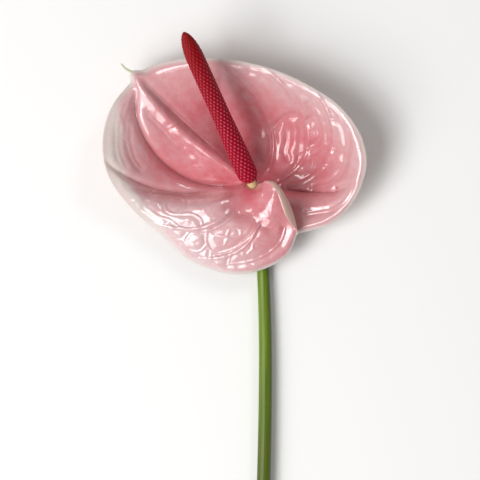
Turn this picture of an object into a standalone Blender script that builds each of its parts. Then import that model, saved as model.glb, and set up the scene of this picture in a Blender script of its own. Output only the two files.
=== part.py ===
"""A cut anthurium flower lying face up on a table: a heart-shaped spathe round a floret-covered spadix,
on one long green stem. Metres, +Z up. The flower's heart, where all three pieces meet, is over X = Y = 0
before the last step, which moves the origin to the middle of the box's underside."""

import math

import bmesh
import bpy
import numpy as np
from mathutils import Vector

MM = 0.001

# Driving dimensions, in millimetres and degrees
HEART_HEIGHT = 10.0  # the flower's heart above the table
MIDRIB_HEADING = 137.0  # direction of the spathe's tip on the table, from +X
BLADE_THICKNESS = 1.1
COLLAR_RADIUS = 3.3  # the spathe's inner edge, round the stipe
COLLAR_SLOPE = 0.85  # fall of that edge from the cleft down to the spadix's side
NEAR_DEPTH = 7.3  # how far the sheet sags below a plain funnel, in each half and along the midrib
FAR_DEPTH = 10.15
TIP_DEPTH = 2.6
LOBE_RISE = 6.0  # the near lobe swells up instead, between the heart and its rim
SEAT_GAP = 0.3  # clearance between neighbouring pieces

SPADIX_TIP = (-31.0, 68.2, 38.5)  # from the heart
SPADIX_BEARING = 23.0  # angle between the midrib and the spadix, seen from above
SPADIX_RADIUS = 4.65
SPADIX_START = 1.9  # from the heart to the spadix's lower end
FLORETS_ROUND = 13
FLORET_RINGS = 50
FLORET_RELIEF = 0.28

STEM_RADIUS_TOP = 2.2
STEM_RADIUS_FOOT = 3.5
STEM_LENGTH = 300.0

# Rim of the spathe: angle from the midrib, distance from the heart, height above the heart.
# Angles run negative round the near half and positive round the far half.
RIM = (
    (-230.0, 24.0, 10.0),
    (-200.0, 27.0, 9.5),
    (-186.0, 29.0, 8.5),
    (-174.0, 31.0, 7.0),
    (-162.0, 35.6, 5.0),
    (-144.0, 38.8, 2.5),
    (-120.0, 42.3, 0.5),
    (-102.0, 43.9, 0.0),
    (-90.0, 45.4, 0.5),
    (-72.0, 47.6, 1.5),
    (-54.0, 56.5, 4.5),
    (-36.0, 67.8, 13.0),
    (-24.0, 71.7, 13.0),
    (-12.0, 73.1, 9.5),
    (-6.0, 72.6, 6.5),
    (-3.0, 72.6, 5.5),
    (0.0, 75.6, 4.5),
    (3.0, 72.4, 6.0),
    (6.0, 71.2, 7.0),
    (12.0, 68.2, 9.0),
    (24.0, 62.4, 12.0),
    (42.0, 56.0, 14.5),
    (60.0, 52.6, 16.0),
    (78.0, 51.7, 16.5),
    (96.0, 53.2, 17.0),
    (114.0, 54.2, 16.5),
    (126.0, 53.2, 15.0),
    (138.0, 49.9, 12.5),
    (150.0, 46.0, 9.0),
    (162.0, 41.3, 5.0),
    (174.0, 34.7, 1.5),
    (186.0, 30.5, -1.0),
    (200.0, 27.5, -2.5),
)

# The cleft. Near lobe: angle where its margin starts to roll over, radius of the roll, and how far
# it turns. Far lobe: angle of its margin, which lies under the near lobe. Both by share of the way out.
CLEFT_NEAR = (
    (0.0, -222.0, 0.3, 10.0),
    (0.12, -224.0, 0.7, 80.0),
    (0.25, -220.0, 1.5, 160.0),
    (0.5, -193.0, 3.0, 195.0),
    (0.75, -179.0, 2.9, 190.0),
    (0.92, -175.0, 1.6, 150.0),
    (1.0, -173.5, 0.9, 90.0),
)
CLEFT_FAR = ((0.0, 128.0), (0.08, 132.0), (0.18, 150.0), (0.3, 168.0), (0.5, 184.0), (0.75, 192.0), (1.0, 194.0))
ROLL_SHARE = 0.12  # share of the near half's grid that the roll takes

# Sunken veins: angle at the heart, then at half way and at the end, start and end as shares
# of the way to the rim, depth and half width in millimetres
SUNKEN_VEINS = (
    (-54.0, -34.0, 0.0, 0.10, 0.92, 3.2, 3.4),
    (-53.0, -51.0, -34.0, 0.30, 0.96, 3.4, 3.6),
    (-76.0, -55.0, -44.0, 0.12, 0.85, 2.2, 3.6),
    (146.0, 145.0, 139.0, 0.16, 0.84, 2.4, 2.4),
    (10.0, 22.0, 34.0, 0.20, 0.90, 1.2, 3.4),
)
# Raised veins, given the same way, with their height
RAISED_VEINS = (
    (-6.0, -6.3, 0.0, 0.06, 1.0, 3.6, 4.8),
    (108.0, 66.0, 30.0, 0.15, 0.95, 1.0, 1.3),
    (140.0, 108.0, 52.0, 0.15, 0.96, 1.0, 1.3),
    (140.0, 131.0, 80.0, 0.30, 0.96, 0.9, 1.3),
    (-96.0, -90.0, -62.0, 0.40, 0.96, 0.9, 1.3),
    (-146.0, -138.0, -90.0, 0.45, 0.96, 0.9, 1.3),
)

# The dry tail at the tip: distance out from the heart, sideways and up, and its radius
TAIL = ((70.0, 0.0, 4.6, 0.9), (75.0, 0.2, 5.2, 0.75), (78.5, 0.9, 4.8, 0.5), (82.0, 0.6, 4.0, 0.38))
TAIL_SIDES = 8

BLADE_STEPS_ROUND = 100
BLADE_STEPS_OUT = 26


def smooth(low, high, value):
    """0 below low, 1 above high, and an S-shaped rise between them."""
    share = np.clip((value - low) / (high - low), 0.0, 1.0)
    return share * share * (3.0 - 2.0 * share)


def through(table, column, at):
    """A smooth curve through one column of a table, by its first column (cubic Hermite)."""
    knots = np.array([row[0] for row in table])
    values = np.array([row[column] for row in table])
    slopes = np.gradient(values, knots)
    at = np.clip(at, knots[0], knots[-1])
    cell = np.clip(np.searchsorted(knots, at) - 1, 0, len(knots) - 2)
    width = knots[cell + 1] - knots[cell]
    t = (at - knots[cell]) / width
    rise = values[cell + 1] - values[cell]
    start, end = slopes[cell] * width, slopes[cell + 1] * width
    return values[cell] + t * (start + t * ((3 * rise - 2 * start - end) + t * (start + end - 2 * rise)))


def vein_relief(angle, share, reach, vein):
    """0 to 1 across a vein: 1 on its line, falling off exponentially to each side."""
    at_heart, half_way, at_end, start, end, _, half_width = vein
    bend = 2.0 * (at_heart + at_end) - 4.0 * half_way
    line = at_heart + (4.0 * half_way - 3.0 * at_heart - at_end) * share + bend * share * share
    away = np.radians(angle - line) * reach
    ends = smooth(start - 0.10, start + 0.10, share) * (1.0 - smooth(end - 0.06, end + 0.06, share))
    return ends * np.exp(1.0 - np.sqrt(1.0 + (away / half_width) ** 2 * 4.0))


def blade(around, share):
    """The spathe's middle surface, in millimetres from the heart.

    around runs from -1 at the near inner margin, over 0 at the midrib, to 1 at the far inner margin.
    share runs from 0 at the collar to 1 at the rim. The last of the near side is the rolled margin."""
    near = -through(CLEFT_NEAR, 1, share)
    far = through(CLEFT_FAR, 1, share)
    flat = np.clip(-around / (1.0 - ROLL_SHARE), 0.0, 1.0)
    rolled = np.clip((-around - (1.0 - ROLL_SHARE)) / ROLL_SHARE, 0.0, 1.0)
    angle = np.where(around < 0.0, -flat * near, around * far)
    rim = through(RIM, 1, angle)
    reach = COLLAR_RADIUS + (rim - COLLAR_RADIUS) * share

    # The bowl: low between the heart and the rim, then up to the rim's own height
    left_wall = smooth(-75.0, -50.0, angle) * (1.0 - smooth(-22.0, -8.0, angle))
    height = through(RIM, 2, angle) * share ** (2.1 + 0.9 * left_wall)
    lobe = smooth(-40.0, -72.0, angle)
    off_midrib = angle + 6.0 + 7.2 * share - 13.2 * share**2
    sag_near = (1.0 - lobe) * (1.0 - smooth(-28.0, -2.0, off_midrib))
    sag_far = smooth(2.0, 32.0, off_midrib) * (1.0 - smooth(125.0, 165.0, angle))
    sag_tip = 1.0 - smooth(0.0, 22.0, np.abs(off_midrib))
    dip = np.sin(np.pi * np.clip(share, 0.0, 1.0) ** 0.7) ** 1.3
    height -= dip * (NEAR_DEPTH * sag_near + FAR_DEPTH * sag_far + TIP_DEPTH * sag_tip)
    height += LOBE_RISE * lobe * np.sin(np.pi * np.clip(share, 0.0, 1.0) ** 0.75)

    # Round the heart the sheet lies across the spadix: low on its side and high at the cleft
    across_spadix = np.cos(np.radians(angle - SPADIX_BEARING))
    height -= COLLAR_SLOPE * COLLAR_RADIUS * across_spadix * (1.0 - smooth(0.0, 0.30, share))

    # The shoulder of the near lobe stands up beside the cleft, with a fold across below it,
    # and the far lobe dips to pass under it
    shoulder = 1.0 - smooth(12.0, 90.0, np.abs(angle + 200.0))
    height += shoulder * 3.0 * smooth(0.0, 0.14, share)
    fold_at = 15.0 + 8.0 * smooth(-130.0, -165.0, angle)
    fold = (1.0 - smooth(-90.0, -66.0, angle)) * smooth(-166.0, -150.0, angle)
    height -= 2.4 * fold * np.exp(-(((reach - fold_at) / 3.4) ** 2))
    height -= 3.0 * smooth(95.0, 150.0, angle) * np.sin(np.pi * np.clip(share * 1.1, 0.0, 1.0)) ** 0.8

    for vein in SUNKEN_VEINS:
        height -= vein[5] * vein_relief(angle, share, reach, vein)
    for vein in RAISED_VEINS:
        height += vein[5] * vein_relief(angle, share, reach, vein)

    # The rim turns back a little
    height -= 1.6 * smooth(0.90, 1.0, share) ** 2

    # The roll: from its start the sheet runs on outwards, up and back over itself
    radius = through(CLEFT_NEAR, 2, share)
    turn = np.radians(rolled * through(CLEFT_NEAR, 3, share))
    heading = np.radians(MIDRIB_HEADING - angle)
    x = reach * np.cos(heading) - radius * np.sin(turn) * np.sin(heading)
    y = reach * np.sin(heading) + radius * np.sin(turn) * np.cos(heading)
    return x, y, height + 0.8 * radius * (1.0 - np.cos(turn))


def build_spathe():
    steps_round, steps_out = BLADE_STEPS_ROUND, BLADE_STEPS_OUT
    bpy.ops.mesh.primitive_grid_add(x_subdivisions=steps_round, y_subdivisions=steps_out, size=2.0)
    spathe = bpy.context.object
    grid = np.empty(len(spathe.data.vertices) * 3, np.float32)
    spathe.data.vertices.foreach_get("co", grid)
    grid = grid.reshape(-1, 3).astype(float)
    around = grid[:, 0]
    share = (grid[:, 1] + 1.0) / 2.0
    x, y, z = blade(around, share)
    points = np.stack([x, y, z + HEART_HEIGHT], axis=1) * MM
    spathe.data.vertices.foreach_set("co", points.astype(np.float32).ravel())
    spathe.data.update()
    thicken = spathe.modifiers.new("thickness", "SOLIDIFY")
    thicken.thickness = BLADE_THICKNESS * MM
    thicken.offset = 0.0
    thicken.use_even_offset = False
    join = spathe.modifiers.new("tail", "BOOLEAN")
    join.operation = "UNION"
    join.object = build_tail()
    rest = spathe.modifiers.new("rest_spots", "BOOLEAN")
    rest.operation = "DIFFERENCE"
    rest.object = build_table_top()
    return finish(spathe, "spathe", (0.62, 0.27, 0.30), 0.25)


def build_tail():
    """The thread-like tip, a tapering tube whose thick end is sunk into the blade."""
    line = bpy.data.curves.new("tail_line", "CURVE")
    line.dimensions = "3D"
    spline = line.splines.new("POLY")
    spline.points.add(len(TAIL) - 1)
    heading = math.radians(MIDRIB_HEADING)
    for (out, aside, up, radius), knot in zip(TAIL, spline.points):
        x = out * math.cos(heading) - aside * math.sin(heading)
        y = out * math.sin(heading) + aside * math.cos(heading)
        knot.co = (x * MM, y * MM, (up + HEART_HEIGHT) * MM, 1.0)
        knot.radius = radius
    line.bevel_depth = MM
    line.bevel_resolution = TAIL_SIDES // 4
    line.use_fill_caps = True
    guide = bpy.data.objects.new("tail_guide", line)
    bpy.context.collection.objects.link(guide)
    bpy.context.view_layer.update()
    mesh = bpy.data.meshes.new_from_object(guide.evaluated_get(bpy.context.evaluated_depsgraph_get()))
    bpy.data.objects.remove(guide)
    shape = bmesh.new()
    shape.from_mesh(mesh)
    bmesh.ops.remove_doubles(shape, verts=shape.verts, dist=0.00001)
    shape.to_mesh(mesh)
    shape.free()
    tail = bpy.data.objects.new("tail", mesh)
    bpy.context.collection.objects.link(tail)
    tail.hide_render = True
    tail.display_type = "WIRE"
    return tail


def build_table_top():
    """A slab below the table's surface: it flattens the lowest spots of the spathe's underside."""
    bpy.ops.mesh.primitive_cube_add(size=0.2, location=(0.0, 0.0, -0.1))
    slab = bpy.context.object
    slab.name = "table_top"
    slab.hide_render = True
    slab.display_type = "WIRE"
    return slab


def build_spadix():
    """A slim club whose surface is a diamond net: every second point stands out, as a floret."""
    around, rings = FLORETS_ROUND * 2, FLORET_RINGS
    bpy.ops.mesh.primitive_cylinder_add(vertices=around, radius=1.0, depth=1.0, end_fill_type="NOTHING")
    spadix = bpy.context.object
    mesh = bmesh.new()
    mesh.from_mesh(spadix.data)
    upright = [edge for edge in mesh.edges if abs(edge.verts[0].co.z - edge.verts[1].co.z) > 0.5]
    bmesh.ops.subdivide_edges(mesh, edges=upright, cuts=rings - 1, use_grid_fill=True)
    length = Vector(SPADIX_TIP).length - SPADIX_START
    for vertex in mesh.verts:
        along = vertex.co.z + 0.5
        turn = math.atan2(vertex.co.y, vertex.co.x)
        ring = round(along * rings)
        column = round(turn / (math.pi / FLORETS_ROUND))
        floret = 1.0 if (ring + column) % 2 == 0 else -1.0
        radius = spadix_radius(along) + FLORET_RELIEF * floret * math.sin(math.pi * min(1.0, along * 1.05)) ** 0.3
        twist = turn + along * 2.2
        vertex.co = (radius * math.cos(twist), radius * math.sin(twist), SPADIX_START + along * length)
    rims = [edge for edge in mesh.edges if edge.is_boundary]
    bmesh.ops.holes_fill(mesh, edges=rims, sides=0)
    bmesh.ops.scale(mesh, vec=(MM, MM, MM), verts=mesh.verts)
    bmesh.ops.recalc_face_normals(mesh, faces=mesh.faces)
    mesh.to_mesh(spadix.data)
    mesh.free()
    spadix.rotation_mode = "QUATERNION"
    spadix.rotation_quaternion = Vector(SPADIX_TIP).to_track_quat("Z", "Y")
    spadix.location = (0.0, 0.0, HEART_HEIGHT * MM)
    return finish(spadix, "spadix", (0.42, 0.02, 0.04), 0.35)


def spadix_radius(along):
    """Blunt at the foot, a little slimmer above it, and domed over the last sixth up to the tip."""
    taper = SPADIX_RADIUS * (1.0 - 0.12 * smooth(0.10, 0.50, along))
    foot = math.sqrt(max(0.0, 1.0 - (max(0.0, 0.06 - along) / 0.070) ** 2))
    tip = max(0.0, 1.0 - (max(0.0, along - 0.82) / 0.1805) ** 2) ** 0.6
    return float(taper) * foot * tip


def stem_points():
    """The stem's centre line, from its cut foot to the stipe that carries the spadix."""
    foot_height = STEM_RADIUS_FOOT - HEART_HEIGHT
    lie = (
        (-2.5, -STEM_LENGTH + 4.0, foot_height),
        (2.0, -230.0, foot_height + 0.9),
        (5.0, -160.0, foot_height + 1.4),
        (6.4, -95.0, foot_height + 1.2),
        (6.1, -60.0, foot_height + 0.6),
        (4.8, -32.0, foot_height + 0.2),
        (3.0, -14.0, foot_height + 1.2),
        (1.5, -5.5, foot_height + 4.4),
    )
    axis = Vector(SPADIX_TIP).normalized()
    return [Vector(point) for point in lie] + [axis * -1.6, axis * (SPADIX_START - SEAT_GAP)]


def build_stem():
    points = stem_points()
    line = bpy.data.curves.new("stem", "CURVE")
    line.dimensions = "3D"
    spline = line.splines.new("NURBS")
    spline.points.add(len(points) - 1)
    for index, (point, knot) in enumerate(zip(points, spline.points)):
        share = index / (len(points) - 1)
        knot.co = (*((point + Vector((0.0, 0.0, HEART_HEIGHT))) * MM), 1.0)
        knot.radius = (STEM_RADIUS_FOOT + (STEM_RADIUS_TOP - STEM_RADIUS_FOOT) * share) / STEM_RADIUS_FOOT
    spline.use_endpoint_u = True
    spline.order_u = 4
    line.resolution_u = 5
    line.bevel_depth = STEM_RADIUS_FOOT * MM
    line.bevel_resolution = 2
    line.use_fill_caps = True
    stem = bpy.data.objects.new("stem", line)
    bpy.context.collection.objects.link(stem)
    return finish(stem, "stem", (0.20, 0.34, 0.06), 0.45)


def finish(piece, name, colour, roughness):
    """Names a piece, shades it smooth and gives it its own plain material."""
    piece.name = name
    if piece.type == "MESH":
        piece.data.shade_smooth()
    material = bpy.data.materials.new(name)
    material.use_nodes = True
    shader = material.node_tree.nodes["Principled BSDF"]
    shader.inputs["Base Color"].default_value = (*colour, 1.0)
    shader.inputs["Roughness"].default_value = roughness
    shader.inputs["Metallic"].default_value = 0.0
    piece.data.materials.clear()
    piece.data.materials.append(material)
    return piece


def sort_into_collections(pieces, helpers):
    for name, members in (("cut_anthurium_stem", pieces), ("helpers", helpers)):
        group = bpy.data.collections.new(name)
        bpy.context.scene.collection.children.link(group)
        for member in members:
            for home in list(member.users_collection):
                home.objects.unlink(member)
            group.objects.link(member)


def set_origin(pieces, helpers):
    """Moves everything so that the origin is the middle of the underside of the box round the pieces."""
    bpy.context.view_layer.update()
    shapes = bpy.context.evaluated_depsgraph_get()
    corners = []
    for piece in pieces:
        solid = bpy.data.meshes.new_from_object(piece.evaluated_get(shapes))
        corners += [piece.matrix_world @ vertex.co for vertex in solid.vertices]
        bpy.data.meshes.remove(solid)
    low = [min(corner[axis] for corner in corners) for axis in range(3)]
    high = [max(corner[axis] for corner in corners) for axis in range(3)]
    middle = Vector(((low[0] + high[0]) / 2.0, (low[1] + high[1]) / 2.0, low[2]))
    for piece in pieces + helpers:
        piece.location -= middle


def main():
    for old in list(bpy.data.objects):
        bpy.data.objects.remove(old)
    pieces = [build_stem(), build_spathe(), build_spadix()]
    helpers = [item for item in bpy.data.objects if item not in pieces]
    sort_into_collections(pieces, helpers)
    set_origin(pieces, helpers)


if __name__ == "__main__":
    main()
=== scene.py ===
"""A cut anthurium lying face up: a waxy pink spathe round a red spadix, on one long green stem.

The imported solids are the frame. Each new piece is a surface worked out with numpy, in millimetres from
the flower's heart, where spathe, spadix and stem meet."""

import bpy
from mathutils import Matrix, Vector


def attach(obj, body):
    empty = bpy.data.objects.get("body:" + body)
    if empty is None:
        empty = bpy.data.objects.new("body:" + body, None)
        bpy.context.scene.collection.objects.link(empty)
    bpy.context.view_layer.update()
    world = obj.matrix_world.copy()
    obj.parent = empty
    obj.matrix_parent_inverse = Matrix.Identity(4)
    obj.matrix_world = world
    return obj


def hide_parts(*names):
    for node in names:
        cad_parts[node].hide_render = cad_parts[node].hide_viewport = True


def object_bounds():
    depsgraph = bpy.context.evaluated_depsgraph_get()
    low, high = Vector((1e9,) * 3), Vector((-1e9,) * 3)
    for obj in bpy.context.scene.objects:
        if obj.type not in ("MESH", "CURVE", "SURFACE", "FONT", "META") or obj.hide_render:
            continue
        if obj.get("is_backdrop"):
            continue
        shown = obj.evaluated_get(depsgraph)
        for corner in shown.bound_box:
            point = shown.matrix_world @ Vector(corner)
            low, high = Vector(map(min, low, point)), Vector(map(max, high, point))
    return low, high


bl_info = {
    "name": "Cut anthurium stem",
    "version": (1, 0, 0),
    "blender": (4, 5, 0),
    "location": "3D View > Sidebar > Anthurium",
    "description": "Builds the spathe, spadix and stem of a cut anthurium, and a plain stage",
    "category": "Object",
}

import bmesh
import bpy
import numpy as np
from bpy.props import FloatProperty, FloatVectorProperty, IntProperty, PointerProperty
from mathutils import Vector

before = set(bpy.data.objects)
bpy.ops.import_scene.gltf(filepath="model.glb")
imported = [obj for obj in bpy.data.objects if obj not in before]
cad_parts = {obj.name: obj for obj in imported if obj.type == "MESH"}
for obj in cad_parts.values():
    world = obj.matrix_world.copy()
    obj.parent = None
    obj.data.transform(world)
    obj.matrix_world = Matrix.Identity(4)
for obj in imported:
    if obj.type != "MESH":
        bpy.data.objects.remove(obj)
CAD_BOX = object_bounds()

MM = 0.001
MERGE_DISTANCE = 0.002 * MM
FAR_AWAY = 1e9
HEART = (8.06, 113.97, 10.0)  # the flower's heart in the frame, in millimetres

# The blade. Directions are in degrees: its midrib's in the frame, all others clockwise from the midrib.
# Lengths are in millimetres, and a share is of the way out from the collar to the rim.
MIDRIB_HEADING = 137.0
COLLAR_RADIUS = 2.6
COLLAR_SLOPE = 0.85
SPADIX_BEARING = 23.0
NEAR_DEPTH = 7.3
FAR_DEPTH = 10.15
TIP_DEPTH = 2.6
LOBE_RISE = 6.0
SHOULDER_BEARING = -200.0
SHOULDER_RISE = 3.0
NEAR_FALL = 3.0
FAR_FALL = 3.0
NEAR_FOLD_DEPTH = 0.9
NEAR_FOLD_WIDTH = 3.4
FAR_FOLD_HEIGHT = 1.3
FAR_FOLD_SHARPNESS = 0.4
FAR_FOLD_FADE = 7.0
RIM_TURN = 1.4
# The share of the near half that is rolled, the roll's height over its depth, and the share of each
# half over which the two faces meet at its inner margin
ROLL_SHARE = 0.12
ROLL_HEIGHT = 0.8
MARGIN_SHARE = 0.010
# The turns of the rim's bend from the face to the back
RIM_BEND = (45.0, 90.0, 135.0)

# The midrib is bowed: at share s its angle is -(6.0 + 7.2 s - 13.2 s squared)
MIDRIB_BOW = (6.0, 7.2, -13.2)

# The net: the size and seed of its cells, how far they reach from the heart, the width of a main and of
# a fine line, how far the sheet swells between main lines on each half and between fine ones, and how
# high a fine line is against a main one, at its faintest and on top of that where it is clear
CELL_SIZE = 6.5
CELL_SEED = 5
LATTICE_REACH = 90.0
MAIN_LINE_WIDTH = 0.5
FINE_LINE_WIDTH = 0.6
NEAR_SWELL = 0.60
FAR_SWELL = 1.05
CELL_SWELL = 0.16
FAINT_NET = 0.2
CLEAR_NET = 0.9

# Points on the blade's grid: round the roll, over the near and the far half, and on the way out
ROLL_POINTS = 44
NEAR_POINTS = 256
FAR_POINTS = 262
OUTWARD_POINTS = 105

# Rim: angle from the midrib, distance from the heart, height above the heart
RIM = (
    (-230.0, 24.0, 10.0),
    (-200.0, 27.0, 9.5),
    (-186.0, 29.0, 8.5),
    (-174.0, 31.0, 7.0),
    (-162.0, 35.6, 5.0),
    (-144.0, 38.8, 2.5),
    (-120.0, 42.3, 0.5),
    (-102.0, 43.9, 0.0),
    (-90.0, 45.4, 0.5),
    (-72.0, 47.6, 1.5),
    (-54.0, 56.5, 4.5),
    (-36.0, 67.8, 13.0),
    (-24.0, 71.7, 13.0),
    (-12.0, 73.1, 9.5),
    (-6.0, 72.6, 6.5),
    (-3.0, 72.6, 5.5),
    (0.0, 75.6, 4.5),
    (3.0, 72.4, 6.0),
    (6.0, 71.2, 7.0),
    (12.0, 68.2, 9.0),
    (24.0, 62.4, 12.0),
    (42.0, 56.0, 14.5),
    (60.0, 52.6, 16.0),
    (78.0, 51.7, 16.5),
    (96.0, 53.2, 17.0),
    (114.0, 54.2, 16.5),
    (126.0, 53.2, 15.0),
    (138.0, 49.9, 12.5),
    (150.0, 46.0, 9.0),
    (162.0, 41.3, 5.0),
    (174.0, 34.7, 1.5),
    (186.0, 30.5, -1.0),
    (200.0, 27.5, -2.5),
)

# Near margin by share of the way out: angle where it starts to roll, radius of the roll, how far it turns
CLEFT_NEAR = (
    (0.0, -222.0, 0.3, 10.0),
    (0.12, -224.0, 0.7, 80.0),
    (0.25, -220.0, 1.5, 160.0),
    (0.5, -193.0, 3.0, 195.0),
    (0.75, -179.0, 2.9, 190.0),
    (0.92, -175.0, 1.6, 150.0),
    (1.0, -173.5, 0.9, 90.0),
)
# Far margin, which lies under the near lobe: share of the way out, angle
CLEFT_FAR = (
    (0.0, 128.0),
    (0.08, 132.0),
    (0.18, 150.0),
    (0.3, 168.0),
    (0.5, 184.0),
    (0.75, 192.0),
    (1.0, 194.0),
)

# Veins: angle at the heart, half way and at the end, start and end as shares of the way out,
# depth or height, half width
SUNKEN_VEINS = (
    (-54.0, -34.0, 0.0, 0.10, 0.92, 3.2, 3.0),
    (-53.0, -51.0, -34.0, 0.30, 0.96, 2.6, 2.4),
    (-76.0, -55.0, -44.0, 0.12, 0.85, 1.8, 3.6),
    (146.0, 145.0, 139.0, 0.16, 0.84, 2.4, 2.4),
    (10.0, 22.0, 34.0, 0.20, 0.90, 1.2, 3.4),
)
RAISED_VEINS = (
    (-6.0, -6.3, 0.0, 0.06, 1.0, 3.6, 4.8),
    (108.0, 66.0, 30.0, 0.15, 0.95, 1.0, 1.3),
    (140.0, 108.0, 52.0, 0.15, 0.96, 1.0, 1.3),
    (140.0, 131.0, 80.0, 0.30, 0.96, 0.9, 1.3),
    (-96.0, -90.0, -62.0, 0.40, 0.96, 0.9, 1.3),
    (-146.0, -138.0, -90.0, 0.45, 0.96, 0.9, 1.3),
)

# Raised lines seen from above, as routes of x and y from the heart
FAR_LINES = (
    ((-2.3, 42.3), (3.2, 35.4), (6.4, 30.8), (9.2, 24.4), (9.9, 18.9), (9.2, 12.4), (6.4, 5.1)),
    ((2.8, 51.1), (8.7, 47.8), (13.8, 43.2), (19.1, 38.6), (22.1, 32.2), (23.2, 26.2), (23.0, 17.5),
     (22.1, 11.0), (19.8, 7.1), (13.3, 0.9)),
    ((-0.9, 52.0), (8.7, 49.7), (19.1, 46.0), (25.3, 40.9), (30.8, 35.4), (34.5, 29.4), (35.4, 22.5),
     (35.4, 17.5), (33.6, 11.0), (30.8, 7.1), (24.8, 1.4), (16.6, -0.9)),
    ((32.2, 37.3), (37.7, 33.1), (41.9, 27.1), (43.7, 20.2), (43.2, 13.8), (41.4, 6.0), (36.3, 0.5),
     (28.5, -1.4)),
    ((9.2, 24.4), (12.4, 28.1), (15.6, 30.8), (22.1, 32.2)),
    ((15.2, 29.9), (16.6, 25.3), (16.8, 20.2), (15.6, 15.2), (16.6, 11.5)),
    ((23.0, 25.8), (25.8, 29.0), (29.4, 29.9)),
    ((26.2, 36.8), (29.0, 29.9), (31.3, 23.9), (30.4, 19.3), (26.2, 16.6), (22.1, 14.7)),
    ((26.7, 2.8), (29.9, 7.4), (31.7, 12.9), (35.4, 17.5)),
    ((35.4, 16.1), (39.1, 16.1), (43.2, 15.2)),
    ((33.1, 8.7), (37.7, 8.7), (41.9, 8.3)),
    ((34.5, 29.0), (38.2, 29.4), (41.4, 28.1)),
    ((25.8, -13.8), (31.3, -12.9), (36.3, -12.0), (40.9, -9.2), (44.2, -5.5), (46.0, -0.9)),
    ((39.1, -1.4), (42.8, -0.9), (46.0, -0.9)),
)

NEAR_LINES = (
    ((-57.0, -0.5), (-54.3, -1.4), (-48.3, -2.3), (-45.8, -4.8), (-37.3, -5.5), (-31.7, -6.9),
     (-31.3, -10.6), (-35.0, -13.8)),
    ((-37.3, -5.5), (-39.6, -7.8), (-40.0, -10.6), (-38.2, -12.9), (-35.0, -13.8), (-27.6, -13.8),
     (-23.5, -16.1), (-22.8, -19.3)),
    ((-45.8, -4.8), (-48.3, -7.4), (-49.2, -10.6)),
    ((-49.2, -10.6), (-43.2, -14.7), (-37.3, -16.6), (-33.1, -19.8), (-25.8, -21.6), (-18.9, -21.2),
     (-13.1, -18.4), (-7.4, -13.8)),
    ((-20.7, -21.2), (-20.7, -27.4), (-16.6, -31.6), (-9.0, -29.9), (-3.2, -26.2), (0.2, -23.0),
     (3.2, -19.3)),
    ((-28.5, -21.6), (-31.3, -25.8), (-28.5, -30.4), (-23.9, -30.8), (-20.7, -27.6)),
    ((-25.8, -31.3), (-23.9, -35.4), (-19.3, -35.9), (-18.9, -30.8)),
    ((-37.3, -16.6), (-39.6, -20.7), (-37.7, -24.8), (-31.3, -25.8)),
    ((15.2, -20.7), (13.3, -26.2), (8.7, -30.8), (4.1, -33.6), (-2.8, -35.9), (-11.0, -36.8)),
    ((-9.0, -29.9), (-10.1, -33.6), (-11.0, -36.8)),
    ((-58.0, 40.0), (-60.7, 31.7), (-61.9, 22.5), (-61.2, 13.3), (-58.9, 7.8)),
    ((-54.3, 37.3), (-56.6, 29.4), (-57.0, 20.2), (-55.2, 12.4), (-52.0, 7.4)),
    ((-61.9, 22.5), (-59.3, 21.6), (-57.0, 20.2)),
    ((-61.2, 30.4), (-58.9, 29.0), (-56.6, 28.5)),
    ((-46.9, 31.3), (-40.9, 25.8), (-35.0, 19.3), (-27.6, 14.3)),
    ((-40.9, 25.8), (-37.7, 26.2), (-34.5, 28.5)),
)

# How pink the face is, 0 pale to 1 deep: by angle, near the heart, half way out and at the rim
# From -35 to -15 the pink is deepened partly as painted shade, where the left half's inner slope faces
# away from the light
BLUSH = (
    (-230.0, 0.75, 0.60, 0.45),
    (-180.0, 0.80, 0.70, 0.55),
    (-150.0, 0.90, 0.65, 0.55),
    (-120.0, 0.95, 0.45, 0.20),
    (-90.0, 0.90, 0.30, 0.05),
    (-60.0, 0.85, 0.30, 0.05),
    (-35.0, 0.90, 0.75, 0.10),
    (-15.0, 0.85, 0.70, 0.20),
    (5.0, 0.95, 0.80, 0.40),
    (30.0, 0.95, 0.85, 0.40),
    (60.0, 1.00, 0.80, 0.25),
    (100.0, 1.00, 0.80, 0.25),
    (140.0, 0.95, 0.75, 0.30),
    (180.0, 0.90, 0.60, 0.40),
)

# The dry tail at the tip: distance out, sideways and up, and its radius, which closes at both ends
TAIL = ((69.0, 0.0, 4.2, 0.9), (75.0, 0.2, 5.2, 0.75), (78.5, 0.9, 4.8, 0.5), (82.0, 0.6, 4.0, 0.38))
TAIL_ROUNDING = 1.5
TAIL_POINTS = 40
TAIL_SIDES = 14

# Brown specks on the face: place from the heart, radius
SPECKS = ((39.1, -1.8, 0.9), (26.2, -11.5, 0.8), (1.4, -16.6, 0.7), (-1.4, -31.3, 0.7))

# The spadix: its tip, how far from the heart it starts, its twist in radians from end to end, its
# points, the most florets in one turn, and its stigmas
SPADIX_TIP = (-31.0, 68.2, 38.5)
SPADIX_START = 1.9
SPADIX_TWIST = 2.2
SPADIX_RINGS = 460
POINTS_ROUND_A_FLORET = 7
MOST_FLORETS = 64
STIGMA_RADIUS = 0.23
STIGMA_HEIGHT = 0.16
STIGMA_SEED = 11

# The stem's route from its cut end to the stipe under the spadix, and its radius
STEM_ROUTE = (
    (-2.5, -296.0, -6.5, 3.5),
    (2.0, -230.0, -5.6, 3.36),
    (5.0, -160.0, -5.1, 3.21),
    (6.4, -95.0, -5.3, 3.07),
    (6.1, -60.0, -5.9, 2.92),
    (4.8, -32.0, -6.3, 2.78),
    (3.0, -14.0, -5.3, 2.63),
    (1.5, -5.5, -2.1, 2.49),
    (0.59, -1.30, -0.73, 2.34),
    (-0.59, 1.30, 0.73, 2.2),
)
STEM_POINTS = 700
STEM_SIDES = 64
STEM_RIDGE_HEIGHT = 0.03
CUT_ROUNDING = 0.2
# The rings of the cut end, as shares of the stem's radius
CUT_RINGS = (0.0, 0.25, 0.5, 0.75, 0.88, 0.96)

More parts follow.
